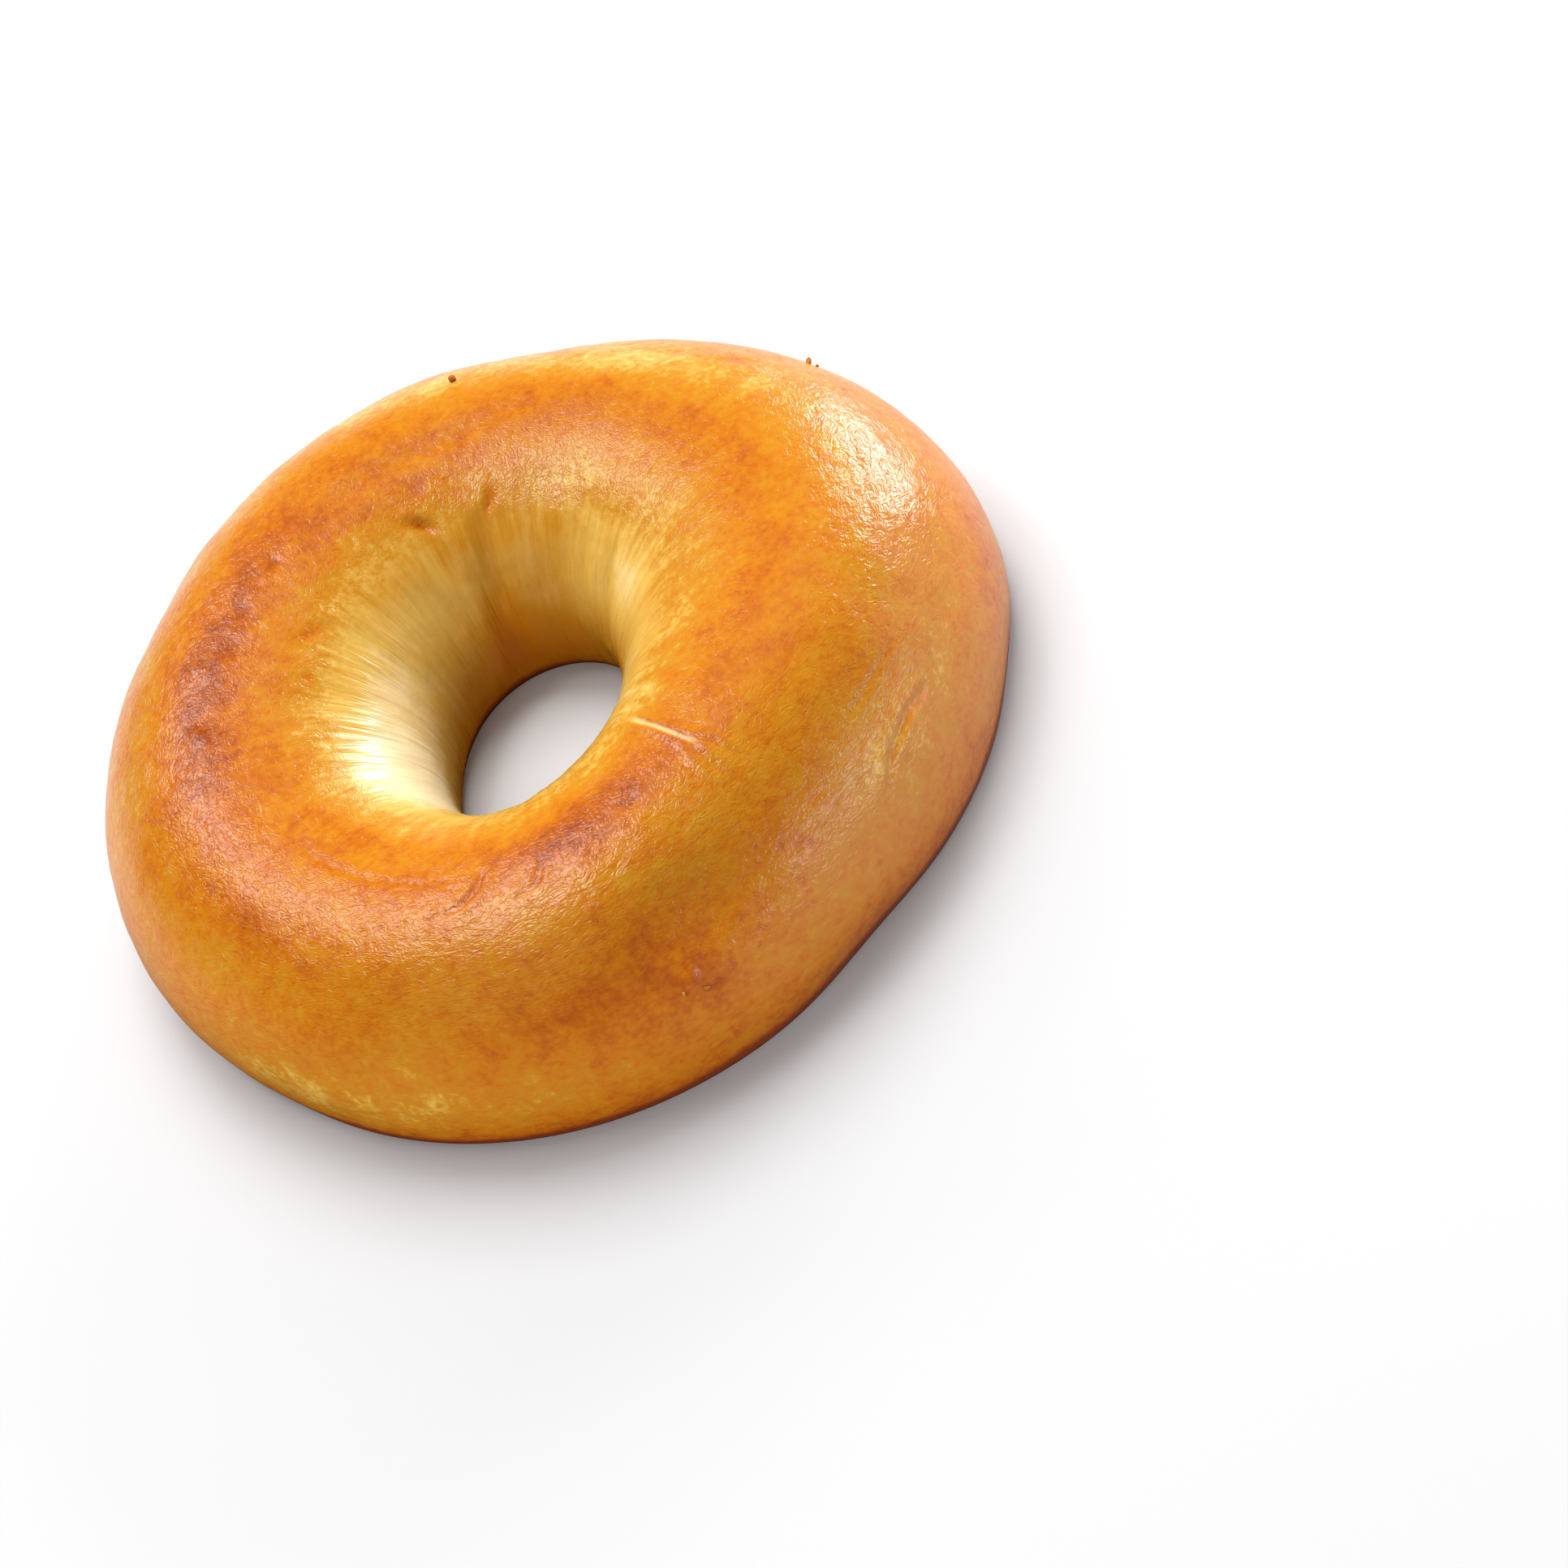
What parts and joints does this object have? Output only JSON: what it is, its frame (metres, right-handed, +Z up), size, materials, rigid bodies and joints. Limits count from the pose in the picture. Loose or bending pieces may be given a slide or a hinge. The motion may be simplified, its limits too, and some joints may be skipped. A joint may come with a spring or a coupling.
{
  "type": "sliced bagel top half",
  "caption": "Top half of a sliced and toasted bread ring, glossy brown crust above a flat toasted crumb face, lying on its cut face.",
  "frame": {"origin": "bottom centre of the half's own box, on the plane of the cut", "axes": "+Z up out of the cut face, through the hole; the hole is a few millimetres towards -X and -Y of the origin"},
  "size_m": [0.1104, 0.1078, 0.0272],
  "materials": {
    "crust": "baked egg-brown crust with a thin shine",
    "crumb": "dry toasted crumb"
  },
  "bodies": {
    "root": {"bagel_top_half": "crust"}
  },
  "joints": []
}
